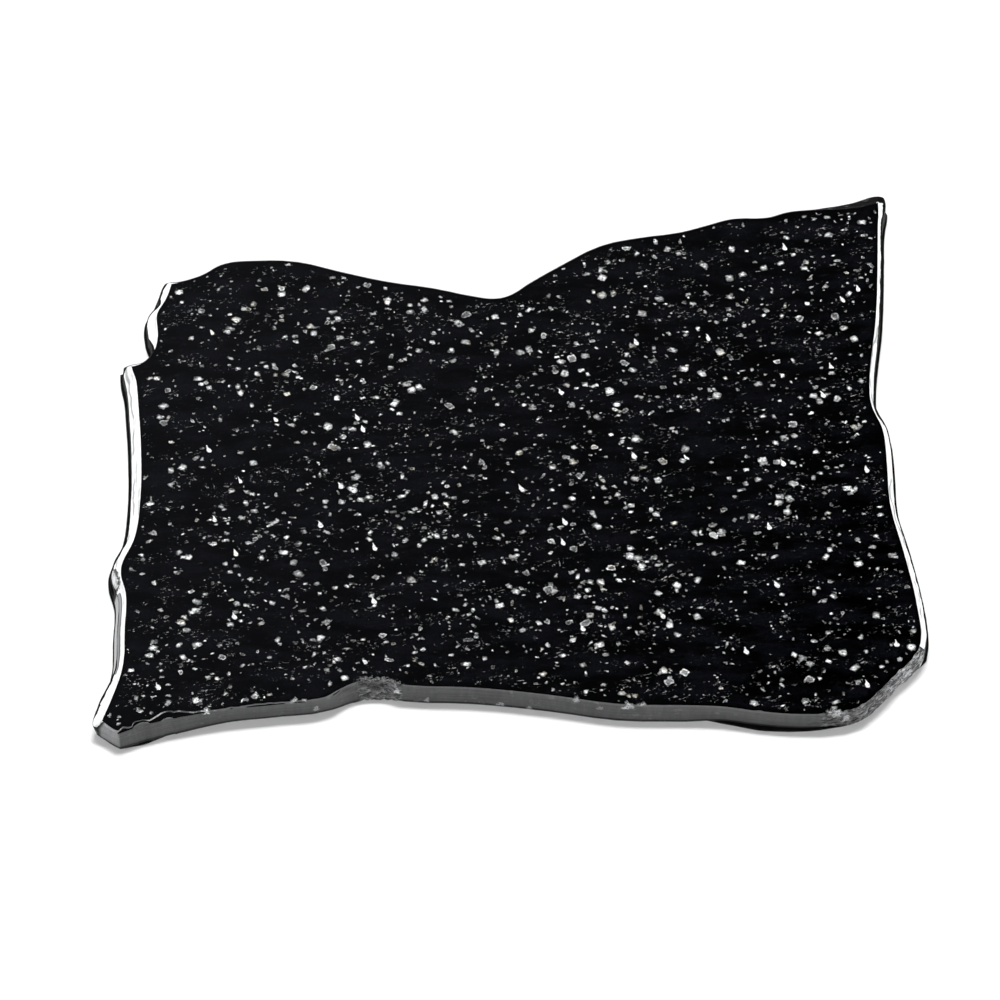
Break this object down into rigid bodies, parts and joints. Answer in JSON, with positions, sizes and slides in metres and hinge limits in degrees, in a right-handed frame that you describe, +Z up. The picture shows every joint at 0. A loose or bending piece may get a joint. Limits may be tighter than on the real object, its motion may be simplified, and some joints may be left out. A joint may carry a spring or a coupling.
{
  "type": "granite slab",
  "caption": "Irregular polished black granite offcut on a thin rubber backing sheet, used as the solid base for stamping and punching leather.",
  "frame": {"origin": "centre of the slab's box in plan, on the surface that the slab lies on", "axes": "+X along the slab's length to its right, +Y to its back edge, +Z up out of the polished face"},
  "size_m": [0.2996, 0.2274, 0.0115],
  "materials": {
    "black_granite": "polished",
    "black_rubber": "matte"
  },
  "bodies": {
    "root": {"granite_slab": "black_granite", "backing_sheet": "black_rubber"}
  },
  "joints": []
}
